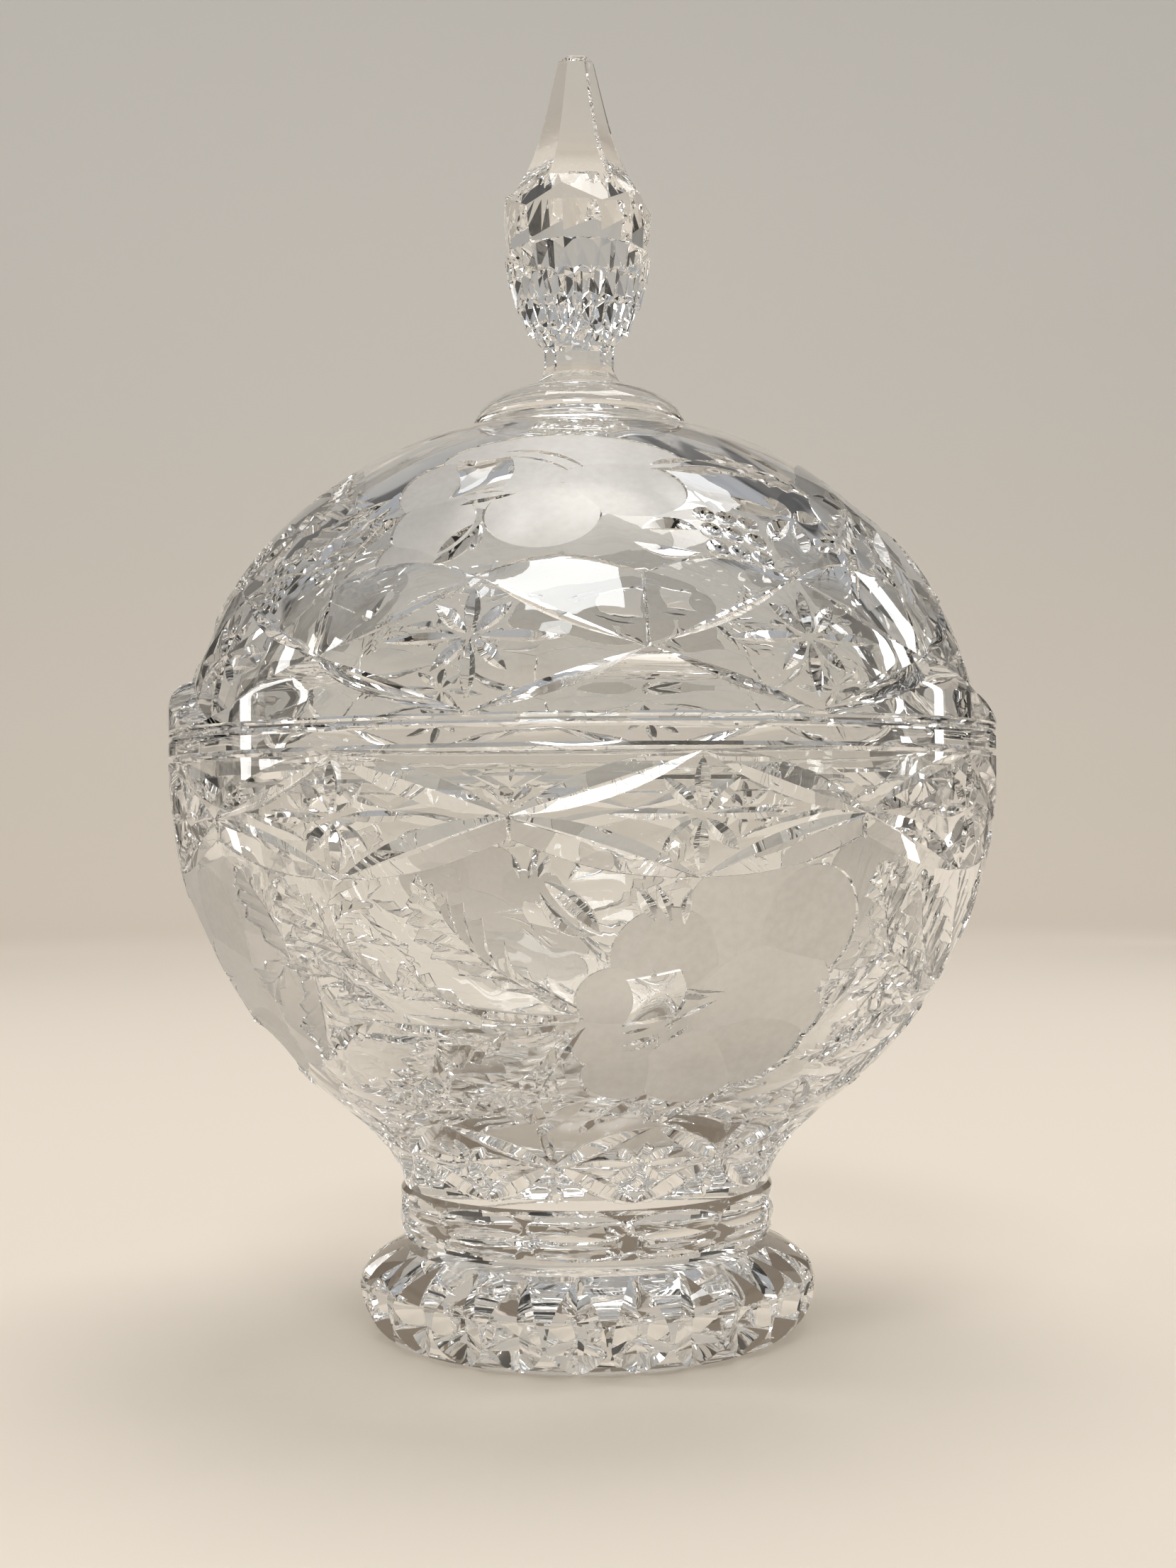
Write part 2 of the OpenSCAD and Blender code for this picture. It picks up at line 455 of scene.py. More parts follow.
def frost_material(painted_shade):
    """Wheel-ground glass: matte, with the fine grain that the stone leaves, and paler at each higher step of
    painted shade.
    """
    # Each step lifts both tints: lighter and darker copies of one frost, painted shade between the petals
    low = [0.74 + 0.065 * painted_shade - fall for fall in (0, 0.015, 0.05)] + [1]
    high = [0.84 + 0.055 * painted_shade - fall for fall in (0, 0.015, 0.045)] + [1]
    material = glass_material(f"ground_crystal_painted_shade_{painted_shade}", (low, high), 900, 0.5, 0.75)
    nodes, links = material.node_tree.nodes, material.node_tree.links
    shader = nodes["Principled BSDF"]
    grain = noise_input(nodes, links, 5000, 2.0, 0.35, 0.65, 0.0, 1.0)
    bump = nodes.new("ShaderNodeBump")
    bump.inputs["Strength"].default_value = 0.25
    bump.inputs["Distance"].default_value = 0.00004
    links.new(grain, bump.inputs["Height"])
    links.new(bump.outputs["Normal"], shader.inputs["Normal"])
    return material


ROOM_START, ROOM_FULL, WALL_START = 0.62, 0.70, 0.35
CAUSTIC_GLOW = 0.13


def stage_material(name, low, high, shades, height):
    """Matte paint that runs from the floor's colour into the wall's, with a dim, uneven room above it.

    It glows faintly, for the light that caustics would bring to the floor under the glass.
    """
    material = bpy.data.materials.new(name)
    material.use_nodes = True
    nodes, links = material.node_tree.nodes, material.node_tree.links
    shader = nodes["Principled BSDF"]
    shader.inputs["Roughness"].default_value = 0.9
    shader.inputs["Specular IOR Level"].default_value = 0.1
    place = nodes.new("ShaderNodeTexCoord")
    split = nodes.new("ShaderNodeSeparateXYZ")
    links.new(place.outputs["Object"], split.inputs["Vector"])
    span = nodes.new("ShaderNodeMapRange")
    span.inputs["From Max"].default_value = height
    links.new(split.outputs["Z"], span.inputs["Value"])
    paint = nodes.new("ShaderNodeValToRGB")
    paint.color_ramp.elements[0].color = low
    paint.color_ramp.elements[1].color = high
    paint.color_ramp.elements[1].position = WALL_START
    links.new(span.outputs["Result"], paint.inputs["Fac"])
    room = nodes.new("ShaderNodeValToRGB")
    room.color_ramp.elements[0].color = shades[0]
    room.color_ramp.elements[1].color = shades[1]
    links.new(noise_input(nodes, links, 2.2, 1.0, 0.46, 0.54, 0.0, 1.0), room.inputs["Fac"])
    above = nodes.new("ShaderNodeMapRange")
    above.inputs["From Min"].default_value = height * ROOM_START
    above.inputs["From Max"].default_value = height * ROOM_FULL
    links.new(split.outputs["Z"], above.inputs["Value"])
    mix = nodes.new("ShaderNodeMix")
    mix.data_type = "RGBA"
    links.new(above.outputs["Result"], mix.inputs["Factor"])
    links.new(paint.outputs["Color"], mix.inputs["A"])
    links.new(room.outputs["Color"], mix.inputs["B"])
    links.new(mix.outputs["Result"], shader.inputs["Base Color"])
    links.new(mix.outputs["Result"], shader.inputs["Emission Color"])
    shader.inputs["Emission Strength"].default_value = CAUSTIC_GLOW
    return material


def card_material(name, shade):
    """Black card with a faint unevenness."""
    material = bpy.data.materials.new(name)
    material.use_nodes = True
    nodes, links = material.node_tree.nodes, material.node_tree.links
    shader = nodes["Principled BSDF"]
    shader.inputs["Roughness"].default_value = 0.9
    ramp = nodes.new("ShaderNodeValToRGB")
    ramp.color_ramp.elements[0].color = (shade, shade, shade, 1)
    ramp.color_ramp.elements[1].color = (shade * 1.6, shade * 1.5, shade * 1.4, 1)
    links.new(noise_input(nodes, links, 8.0, 2.0, 0.3, 0.7, 0.0, 1.0), ramp.inputs["Fac"])
    links.new(ramp.outputs["Color"], shader.inputs["Base Color"])
    return material


clear_glass = glass_material("cut_crystal", ((0.93, 0.935, 0.93, 1), (0.97, 0.972, 0.97, 1)), 40, 0.0)
# The frosted copies are steps of painted shade, lighter and darker
GLASS = [clear_glass] + [frost_material(painted_shade) for painted_shade in range(FROST_PAINTED_SHADES)]
flag_paint = card_material("flag_card", 0.03)


# ---------------------------------------------------------------- patterns

BAND_COPIES = 8
STEP = 360 / BAND_COPIES
MOTIFS = 4


def diamonds(chart, turn, low, mid, high, widths, depth, up_low, up_high, flare=0.0, soft=0.32):
    """The lower and the upper sides of a band of diamonds, each side a set of eight V grooves."""
    left, right = turn - STEP / 2, turn + STEP / 2
    sides = (
        ((turn, low), (right, mid), widths[0], up_low), ((left, mid), (turn, low), widths[0], up_low),
        ((turn, high), (right, mid), widths[1], up_high), ((left, mid), (turn, high), widths[1], up_high),
    )
    groups = []
    for start, end, width, up in sides:
        group = Cutters(BAND_COPIES)
        group.groove(chart, start, end, width, depth, up=up, parts=16, flare=flare, soft=soft)
        groups.append(group)
    return groups


def star(skin, turn, z, across, above, below, corner, width, depth):
    """Eight pointed rays round the middle of each diamond, the level pair narrower than the rest."""
    chart = flower_chart(skin, turn, z)
    rays = [(across, 0, 0.8), (-across, 0, 0.8), (0, above, 1), (0, -below, 1)]
    rays += [(sx * corner * 0.74, sy * corner * 0.67, 1) for sx in (1, -1) for sy in (1, -1)]
    groups = [Cutters(BAND_COPIES), Cutters(BAND_COPIES)]
    for i, (u, v, share) in enumerate(rays):
        start = 0.35 / math.hypot(u, v)
        groups[i // 4].groove(
            chart, (u * start, v * start), (u, v), width * share, depth * share, parts=10, peak=0.5, up=0.4
        )
    return groups


def leaf(groups, chart, base, tip, half_width, bend=0.0, pitch=3.0):
    """Toothed leaf: two smooth facets that slope down to a sharp midrib, creased at every tooth."""
    left, right, rib = groups
    dx, dy = tip[0] - base[0], tip[1] - base[1]
    length = math.hypot(dx, dy)
    dx, dy = dx / length, dy / length
    teeth = max(3, round(length / pitch))

    def half(sign):
        def spot(s, t):
            swell = math.sin(math.pi * (0.02 + 0.96 * s) ** 0.8)
            tooth = 0.56 + 0.66 * ((s * teeth + 1e-6) % 1)
            share = 0.03 + 0.95 * s
            x = length * share + 0.95 * half_width * swell * t
            y = 4 * bend * length * share * (1 - share) + sign * max(0.08, half_width * swell * tooth) * t
            return base[0] + dx * x - dy * y, base[1] + dy * x + dx * y

        def depth(s, t):
            along_rib = 0.8 * (1 - t) * (0.35 + 0.65 * math.sin(math.pi * s))
            at_tooth = 0.3 * t * ((s * teeth + 1e-6) % 1)
            return 0.2 + along_rib + at_tooth
        return spot, depth

    for group, sign in ((left, 1), (right, -1)):
        spot, depth = half(sign)
        group.patch(chart, spot, depth, across=3 * teeth, along=3, up=0.5)
    rib.groove(chart, base, tip, 1.1, 1.3, bend=bend, parts=14, peak=0.4, up=0.4, soft=0.0)


def frosted(chart, lobes):
    """The matte petals, each a disc of its own depth and its own painted shade, so a faint step shows between
    them.

    A lobe is its place (u, v), its half sizes, its tilt in degrees, its depth and its step of painted shade.
    """
    groups = []
    for u, v, rx, ry, tilt, depth, painted_shade in lobes:
        # The frosted copy it gets is its step of painted shade
        group = Cutters(MOTIFS, slot=FROST + painted_shade)
        group.disc(chart, (u, v), (rx, ry), depth, tilt=tilt, hollow=0.6, up=0.3, spread=0.8)
        groups.append(group)
    return groups


def strokes(chart, cuts, sets):
    """Single grooves, dealt in turn to several groups so that neighbours in the list are never cut together.

    A cut is its two ends (u, v), its width, its depth and its bend.
    """
    groups = [Cutters(MOTIFS) for _ in range(sets)]
    for i, (u0, v0, u1, v1, width, depth, bend) in enumerate(cuts):
        groups[i % sets].groove(chart, (u0, v0), (u1, v1), width, depth, bend=bend, parts=12, up=0.35)
    return groups


def leaf_groups(chart, leaves):
    """Leaves, each with three groups of its own, because its two halves and its rib overlap.

    A leaf is its base and its tip (u, v), its half width and its bend.
    """
    groups = []
    for base_u, base_v, tip_u, tip_v, half_width, bend in leaves:
        trio = tuple(Cutters(MOTIFS) for _ in range(3))
        leaf(trio, chart, (base_u, base_v), (tip_u, tip_v), half_width, bend)
        groups += trio
    return groups


# ---------------------------------------------------------------- the jar

def quarter(a, b, z, start, end, rows):
    """Points of an ellipse round (0, z), from angle start to angle end in degrees."""
    return [
        (a * math.cos(math.radians(start + (end - start) * i / rows)),
         z + b * math.sin(math.radians(start + (end - start) * i / rows)))
        for i in range(rows + 1)
    ]


def hollow_ripple(a, z):
    """Uneven inner wall, left by the plunger: up to about a quarter of a millimetre."""
    p = Vector((math.cos(a) * 4.2, math.sin(a) * 4.2, z / 13))
    q = Vector((math.cos(a) * 9, math.sin(a) * 9, z / 6))
    return 0.18 * noise.noise(p) + 0.13 * noise.noise(q)


def bowl_band():
    """Diamonds, stars and facets under the bowl's rim."""
    turn, low, mid, high = 14, 70.7, 78.8, 86.9
    chart = band_chart(bowl_skin)
    left = turn - STEP / 2
    groups = []

    petals = [Cutters(BAND_COPIES), Cutters(BAND_COPIES)]
    for group, sign in zip(petals, (1, -1)):
        def spot(s, t, sign=sign):
            side = mid - 0.5 + (low - mid + 0.5) * s
            edge = 75.8 + (low - 75.8) * s - 1.5 * math.sin(math.pi * s)
            return left + sign * (0.25 + (STEP / 2 - 0.35) * s), edge + (side - edge) * t
        group.patch(chart, spot, lambda s, t: 0.45 + 0.75 * t * math.sin(math.pi * (0.15 + 0.75 * s)), up=0.6)
    groups += petals

    panels = Cutters(BAND_COPIES)
    panels.patch(
        chart,
        lambda s, t: (turn + (s - t) * (STEP / 2 - 0.8), low + 0.5 + (s + t) * (mid - low - 0.5)),
        lambda s, t: 0.10 + 0.12 * math.sin(math.pi * s) * math.sin(math.pi * t),
        across=14, along=14, up=0.6,
    )
    groups.append(panels)

    wedges = Cutters(BAND_COPIES)
    wedges.patch(
        chart,
        lambda s, t: (left + (2 * s - 1) * (0.2 + 5.4 * t), 81.6 + 3.1 * t),
        lambda s, t: 0.15 + 0.55 * t, across=8, along=4, up=0.6,
    )
    groups.append(wedges)
    groups += diamonds(chart, turn, low, mid, high, (4.8, 4.4), 1.5, 0.7, 0.7)
    ticks = Cutters(BAND_COPIES)
    ticks.groove(chart, (left, mid - 0.3), (left, 75.3), 1.2, 0.5, parts=8)
    groups.append(ticks)
    groups += star(bowl_skin, turn, mid, 12.8, 7.7, 7.7, 7.2, 2.5, 1.15)
    return groups


def waist_band():
    """Smaller diamonds and stars round the bowl's waist."""
    turn, low, mid, high = 14, 23.6, 29.5, 36.0
    chart = band_chart(bowl_skin)
    groups = diamonds(chart, turn, low, mid, high, (3.0, 3.0), 1.15, 0.5, 0.5)
    groups += star(bowl_skin, turn, 29.6, 8.4, 5.4, 4.8, 5.6, 2.0, 0.95)
    left = turn - STEP / 2
    for start, end, width, depth in ((30.6, 36.2, 1.6, 0.6), (28.6, 23.6, 1.8, 0.7)):
        ticks = Cutters(BAND_COPIES)
        ticks.groove(chart, (left, start), (left, end), width, depth, parts=8)
        groups.append(ticks)
    return groups


def bowl_flower():
    """Frosted flower, its clear heart and the leaf sprays on either side."""
    chart = flower_chart(bowl_skin, 11, 53.6)
    # The last number of each lobe is its step of painted shade, lighter or darker than its neighbours
    groups = frosted(chart, [
        (11.0, 11.8, 10.0, 9.4, 0, 0.36, 1), (-0.5, 7.5, 7.2, 7.0, 0, 0.66, 0),
        (19.0, 9.5, 7.5, 8.5, 0, 0.66, 0), (14.0, -1.4, 10.0, 9.6, 0, 1.00, 2),
        (-6.4, 1.0, 5.2, 5.0, 0, 0.98, 2), (-6.0, -5.5, 5.8, 5.4, 0, 0.70, 1),
        (12.5, -8.5, 8.4, 7.0, 20, 1.25, 0), (-3.7, -12.0, 5.8, 5.0, 0, 1.05, 0),
        (5.5, -11.5, 7.2, 7.0, 0, 1.50, 1), (5.5, 0.0, 9.5, 7.0, 10, 0.46, 1),
    ])
    heart = Cutters(MOTIFS)
    heart.patch(
        chart,
        lambda s, t: (-5.2 + 7.0 * s + 1.2 * math.sin(math.pi * t), -3.4 + 7.2 * t + 1.6 * s),
        lambda s, t: 1.25 + 0.5 * math.sin(math.pi * s) * math.sin(math.pi * t), across=8, along=8, up=0.6,
    )
    groups.append(heart)
    groups += strokes(chart, [
        (1.0, 3.4, 13.2, 1.5, 1.5, 0.85, -0.06), (-1.0, -4.4, 12.2, 1.2, 1.5, 0.85, 0.08),
        (0.4, 1.8, 7.5, 0.9, 2.0, 0.9, 0.0), (-0.6, 2.6, -1.9, 6.6, 2.0, 1.0, 0.1),
        (-1.2, 2.2, -5.4, 4.6, 1.8, 0.9, -0.08), (-1.2, 1.2, -5.2, 2.0, 1.4, 0.8, 0.0),
        (0.2, 2.8, 2.4, 6.4, 1.6, 0.8, -0.1), (-0.8, -3.0, -6.8, -4.9, 1.7, 0.9, 0.05),
        (-0.2, -4.2, -6.2, -7.4, 1.9, 1.0, 0.05), (0.4, -4.6, -4.6, -8.6, 1.6, 0.9, 0.0),
        (-5.9, 2.2, -5.8, -2.6, 1.6, 0.9, 0.2), (1.2, -1.2, 0.8, -4.6, 1.2, 0.7, 0.1),
        (2.8, 1.6, 2.2, -2.2, 1.2, 0.7, -0.1), (-3.6, 1.4, -1.6, -2.6, 1.7, 0.8, 0.15),
        (4.6, -2.6, 0.2, -6.6, 1.3, 0.7, 0.0), (-2.4, 0.6, 0.6, 1.6, 1.2, 0.6, 0.2),
    ], 8)
    groups += leaf_groups(chart, [
        (-15.0, 0.6, -32.2, 14.8, 4.8, 0.12), (-33.0, -3.4, -48.8, 6.6, 4.6, 0.10),
        (-33.5, -7.0, -47.6, -7.0, 3.2, -0.10), (-24.0, -3.4, -33.4, 1.8, 3.0, 0.18),
        (-18.6, -3.8, -30.6, -11.6, 3.6, 0.14), (-13.0, -4.8, -25.0, -22.8, 4.4, 0.10),
        (-29.0, -7.6, -33.8, -27.2, 4.0, 0.12), (-36.0, -9.4, -45.4, -18.4, 3.2, 0.06),
        (-12.0, -9.0, -14.8, -23.8, 3.2, -0.06), (33.0, 2.0, 20.0, -0.6, 3.4, 0.10),
        (33.5, 1.0, 29.6, 16.0, 4.0, -0.05), (36.5, 0.0, 24.2, -14.4, 3.4, 0.05),
    ])
    groups += strokes(chart, [
        (-8.8, -1.9, -37.0, -9.6, 2.0, 1.0, 0.03), (-9.2, -1.5, -20.5, 5.0, 1.8, 1.0, 0.06),
        (-9.0, -2.3, -17.0, -10.6, 1.8, 1.0, 0.05), (-9.6, -1.2, -29.0, -2.6, 1.6, 0.9, 0.06),
        (-9.4, -2.9, -13.4, -12.0, 1.6, 0.9, -0.05), (-14.0, -3.0, -44.0, -15.0, 1.4, 0.8, 0.03),
        (-16.6, 17.0, -9.2, 10.9, 2.6, 1.1, 0.05), (-17.0, 15.6, -9.6, 10.6, 1.6, 0.8, -0.18),
        (-5.2, 17.2, -1.8, 11.6, 2.2, 0.9, 0.05), (-2.4, 17.6, 0.6, 11.0, 1.8, 0.8, 0.0),
        (2.2, 17.0, 1.8, 10.8, 1.8, 0.8, -0.05), (-13.4, -27.0, -8.2, -17.0, 2.6, 1.0, 0.08),
        (-8.0, -25.0, -6.4, -21.0, 1.6, 0.8, 0.0), (-7.2, -22.6, -2.4, -16.2, 2.2, 0.9, -0.1),
        (0.4, -22.6, 0.2, -16.0, 1.6, 0.8, 0.0), (2.6, -22.8, 6.4, -18.4, 1.8, 0.8, 0.1),
    ], 7)
    return groups


THUMBPRINTS, FLUTES = 12, 24


def ring_ovals():
    """Two rows of thumbprints round the foot ring."""
    groups = []
    for z, width, height, depth in ((20.0, 7.0, 1.85, 0.75), (16.6, 6.3, 1.05, 0.6)):
        group = Cutters(THUMBPRINTS)
        chart = flower_chart(ring_skin, -3, z)
        group.disc(
            chart, (0, 0), (width, height), depth, hollow=0.2, up=0.5, around=40, round_off=0.86, spread=0.5
        )
        groups.append(group)
    return groups


def foot_arches():
    """Pointed flutes round the foot, cut in two groups because neighbours touch."""
    chart = band_chart(foot_skin)
    groups = []
    for k in range(2):
        group = Cutters(FLUTES // 2)
        turn = -2.6 + 360 / FLUTES * k
        group.groove(chart, (turn, 13.3), (turn, 0.2), 9.3, 2.9, parts=30, peak=0.66, up=0.3, soft=0.0)
        groups.append(group)
    return groups


def jar_profile():
    under_r = stand_r - stand_w
    points = [(0, stand_hollow), (under_r - stand_hollow, stand_hollow), (under_r, 0), (stand_r, 0)]
    points += [(foot_skin(z), z) for z in (
        foot_belly_z * (1 - math.cos(math.radians(i * 10))) for i in range(1, 9))]
    points += [(foot_skin(z), z) for z in (
        foot_belly_z + (ledge_z - foot_belly_z) * i / 16 for i in range(17))]
    rows = 14
    points += [(ring_skin(z), z) for z in (ring_z + (bowl_z - ring_z) * i / rows for i in range(rows + 1))]
    points += [(bowl_skin(z), z) for z in (bowl_z + waist_blend * i / 8 for i in range(1, 9))]
    rise = -math.degrees(math.asin((belly_z - bowl_z - waist_blend) / bowl_drop))
    points += quarter(body_r, bowl_drop, belly_z, rise, 0, 30)[1:]
    points += [(body_r, seam_z - rim_bevel), (body_r - rim_bevel, seam_z), (mouth_r + rim_bevel, seam_z),
               (mouth_r, seam_z - rim_bevel)]
    outside = [(r, z, False) for r, z in points]
    inside = [(r, z, 3 < i < 29) for i, (r, z) in enumerate(
        quarter(mouth_r, hollow_drop, belly_z, 0, -88, 30))]
    return outside + inside + [(0, belly_z - hollow_drop, False)]


def make_jar():
    base = lathe("jar_blank", jar_profile(), hollow_ripple)
    groups = bowl_band() + waist_band() + bowl_flower() + ring_ovals() + foot_arches()
    mesh = carve(base, groups, GLASS)
    part_off(mesh, "bowl", bowl_z, None, "jar", frosted_too=True)
    part_off(mesh, "foot_ring", ring_z, bowl_z, "jar")
    part_off(mesh, "foot", None, ring_z, "jar")


# ---------------------------------------------------------------- the lid

RIM_TOP, STEP_TOP = 95.4, 99.6


def lid_skin(z):
    """Radius of the uncut lid: the proud rim, its rounded step and the dome."""
    if z < RIM_TOP:
        return body_r
    if z > STEP_TOP:
        return dome_skin(z)
    t = (z - RIM_TOP) / (STEP_TOP - RIM_TOP)
    return body_r + (dome_skin(STEP_TOP) - body_r) * (1 - oval(t, 1.0)) ** 0.8


def lid_profile():
    points = [(0, seam_z + lid_hollow_h, False)]
    points += [(r, z, i > 2) for i, (r, z) in enumerate(
        quarter(lid_hollow_r, lid_hollow_h, seam_z, 88, 0, 30)[:-1])]
    low = seam_z + seam_gap
    points += [(lid_hollow_r, low, False), (lid_hollow_r, flange_z, False)]
    points += [(flange_r - rim_bevel, flange_z, False), (flange_r, flange_z + rim_bevel, False)]
    points += [(flange_r, low, False), (body_r - rim_bevel, low, False), (body_r, low + rim_bevel, False)]
    bead = [(0, 90.0), (0.12, 90.3), (0.45, 90.6), (0.12, 90.9), (0.02, 91.2), (0.3, 91.6), (0, 91.9)]
    points += [(body_r - cut, z, False) for cut, z in bead]
    points += [(lid_skin(z), z, False) for z in (92.6, 93.6, 94.6, RIM_TOP)]
    points += [(lid_skin(z), z, False) for z in (
        RIM_TOP + (STEP_TOP - RIM_TOP) * i / 9 for i in range(1, 10))]
    start = math.degrees(math.asin((STEP_TOP - seam_z) / dome_rise))
    end = math.degrees(math.asin(dome_h / dome_rise))
    points += [(r, z, False) for r, z in quarter(dome_r, dome_rise, seam_z, start, end, 34)[1:]]
    points += [(disc_r - 0.7, disc_z + 0.05, False)]
    points += [(r, z, False) for r, z in quarter(disc_r, disc_h, disc_z, 4, 66.4, 18)]
    points += [(0, finial_z, False)]
    return points


def lid_band():
    """Diamonds, stars and big scooped petals round the lid."""
    turn, low, mid, high = -14, 92.1, 100.3, 110.2
    right = turn + STEP / 2
    sunk = band_chart(panel_skin)
    groups = []
    for sign in (1, -1):
        def spot(s, t, sign=sign):
            side = mid + (high - mid) * s
            edge = 110.3 + (high - 110.3) * s + 2.5 * math.sin(math.pi * s)
            return right - sign * (0.2 + (STEP / 2 - 0.4) * s), side + (edge - side) * t
        group = Cutters(BAND_COPIES)
        group.patch(
            band_chart(dome_skin), spot,
            lambda s, t: 0.25 + 1.0 * math.sin(math.pi * (0.12 + 0.8 * s)) * (1 - 0.7 * t * t),
            across=16, along=8, up=2.0,
        )
        groups.append(group)
    panels = Cutters(BAND_COPIES)
    panels.patch(
        sunk,
        lambda s, t: (
            turn + (s - t) * (STEP / 2 - 0.5),
            low + s * t * (high - low) + (s + t - 2 * s * t) * (mid - low)
        ),
        lambda s, t: 0.15 * math.sin(math.pi * s) * math.sin(math.pi * t),
        across=16, along=16, up=4.5,
    )
    groups.append(panels)
    groups += diamonds(sunk, turn, low, mid, high, (1.3, 2.8), 1.2, 3.2, 1.2, flare=0.6, soft=0.0)
    groups += star(panel_skin, turn, 102.0, 12.6, 7.0, 8.4, 7.2, 2.3, 1.0)
    ticks = Cutters(BAND_COPIES)
    ticks.groove(
        band_chart(dome_skin), (right, mid + 0.6), (right, mid + 9.6), 1.0, 1.3, up=1.0, parts=10, soft=0.15
    )
    groups.append(ticks)
    return groups


def lid_flower():
    """Frosted flower on the dome, with its leaves, a berry cluster and a small cut blossom."""
    chart = flower_chart(dome_skin, -6.7, 122.4)
    # The last number of each lobe is its step of painted shade, lighter or darker than its neighbours
    groups = frosted(chart, [
        (2.0, 10.6, 16.5, 5.6, 0, 0.38, 1), (11.0, 2.0, 8.6, 6.4, 0, 0.56, 0),
        (0.8, -4.2, 7.8, 6.6, 0, 0.76, 1), (-14.2, 3.6, 5.6, 6.4, 0, 0.52, 0),
        (-14.0, -4.6, 5.8, 6.0, 0, 0.70, 1), (-4.0, 3.0, 9.0, 6.5, 0, 0.44, 0),
        (-17.0, -9.6, 4.6, 4.0, 20, 0.52, 0),
    ])
    heart = Cutters(MOTIFS)
    heart.patch(
        chart,
        lambda s, t: (-12.6 + 7.6 * s + 1.0 * math.sin(math.pi * t), 0.8 + 8.0 * t + 1.2 * s),
        lambda s, t: 0.85 + 0.4 * math.sin(math.pi * s) * math.sin(math.pi * t), across=8, along=8, up=0.6,
    )
    groups.append(heart)
    groups += strokes(chart, [
        (-8.4, 11.4, 6.8, 4.4, 1.5, 0.9, 0.16), (-8.0, 10.2, 4.6, 3.8, 1.1, 0.7, 0.12),
        (-12.8, -1.2, -1.0, 0.8, 1.5, 0.8, -0.05), (-12.2, 0.4, -3.0, 0.2, 1.3, 0.7, 0.08),
        (-13.0, 10.6, -8.6, 7.6, 1.5, 0.8, 0.1), (-11.6, 8.0, -6.2, 8.6, 1.3, 0.7, 0.1),
        (-10.6, 1.6, -9.4, 6.0, 1.6, 0.8, 0.1), (-7.0, 1.2, -6.2, 5.4, 1.5, 0.8, -0.1),
        (-26.0, -7.4, -18.8, -1.4, 3.3, 1.3, 0.12), (-13.4, -10.6, -7.9, -5.4, 2.6, 1.1, 0.05),
        (-13.6, -12.0, -7.4, -6.4, 2.0, 0.9, -0.14), (-8.0, -11.0, -7.4, -6.0, 1.6, 0.8, 0.0),
        (29.6, 7.2, 33.4, 4.6, 2.6, 1.0, 0.1), (37.6, 7.8, 33.8, 4.6, 2.6, 1.0, -0.1),
        (31.0, -2.6, 33.2, 3.8, 2.6, 1.0, 0.08), (35.2, -1.6, 33.8, 3.8, 2.4, 1.0, -0.08),
        (26.0, 1.8, 32.4, 4.2, 2.0, 0.9, 0.08), (25.2, 4.4, 32.4, 4.6, 1.8, 0.9, -0.08),
        (14.0, 8.0, 20.0, 11.6, 1.8, 0.8, 0.1), (12.6, 6.8, 24.0, 8.8, 1.2, 0.6, 0.04),
        (15.0, 7.0, 30.0, 12.0, 1.3, 0.6, 0.05), (20.0, 12.0, 33.0, 14.0, 1.2, 0.6, 0.05),
        (14.0, -6.6, 21.4, -4.6, 2.2, 0.9, 0.12), (13.0, -9.0, 22.0, -8.6, 1.5, 0.7, -0.1),
    ], 8)
    for i in range(3):
        for j in range(3):
            berry = Cutters(MOTIFS)
            spot = (22.0 + 2.9 * i + 1.0 * j, -1.2 - 2.9 * j + 0.3 * i)
            berry.disc(chart, spot, (1.5, 1.5), 0.8, hollow=0.8, rings=4, around=24)
            groups.append(berry)
    groups += leaf_groups(chart, [
        (-20.5, 2.0, -34.0, -9.0, 3.0, 0.08), (-21.0, 4.0, -38.0, 1.0, 3.0, 0.08),
        (20.0, 16.0, 36.0, 14.0, 2.6, -0.08),
    ])
    return groups


SIDES = 48
FINIAL_TURN = 4
STEM_R, NECK_R = 5.6, 6.6
STEM_H, KNOP_H, SHOULDER_H = 7.0, 20.5, 1.3
SPIRE_TIP, SPIRE_TAPER, SPIRE_FLARE = 2.3, 4.9, 4.2


def flats(r, turn, count):
    """Radius at a turn of a section with flats, one of them at turn 0, whose corners lie at r."""
    half = 180 / count
    away = (turn + half) % (2 * half) - half
    return r * math.cos(math.radians(half)) / math.cos(math.radians(away))


